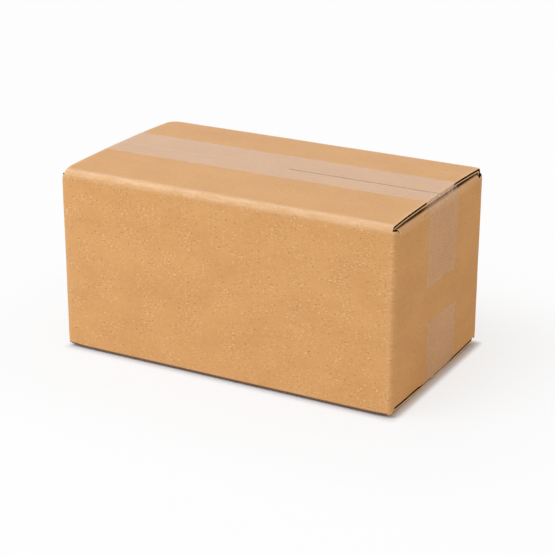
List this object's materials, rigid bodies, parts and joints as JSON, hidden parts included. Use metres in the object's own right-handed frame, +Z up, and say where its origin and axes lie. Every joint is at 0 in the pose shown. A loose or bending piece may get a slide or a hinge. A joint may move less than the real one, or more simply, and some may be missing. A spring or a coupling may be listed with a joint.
{
  "type": "closed cardboard box",
  "caption": "Closed corrugated shipping carton, folded from one sheet, its flaps sealed top and bottom with clear packing tape.",
  "frame": {"origin": "On the floor, under the middle of the carton", "axes": "+X along the carton's length towards the end that the picture shows, +Y across its depth towards the back, +Z up"},
  "size_m": [0.2672, 0.152, 0.1402],
  "materials": {
    "kraft_board": "matte",
    "clear_tape": "satin"
  },
  "bodies": {
    "root": {"carton": "kraft_board", "tape_top": "clear_tape", "tape_bottom": "clear_tape"}
  },
  "joints": []
}
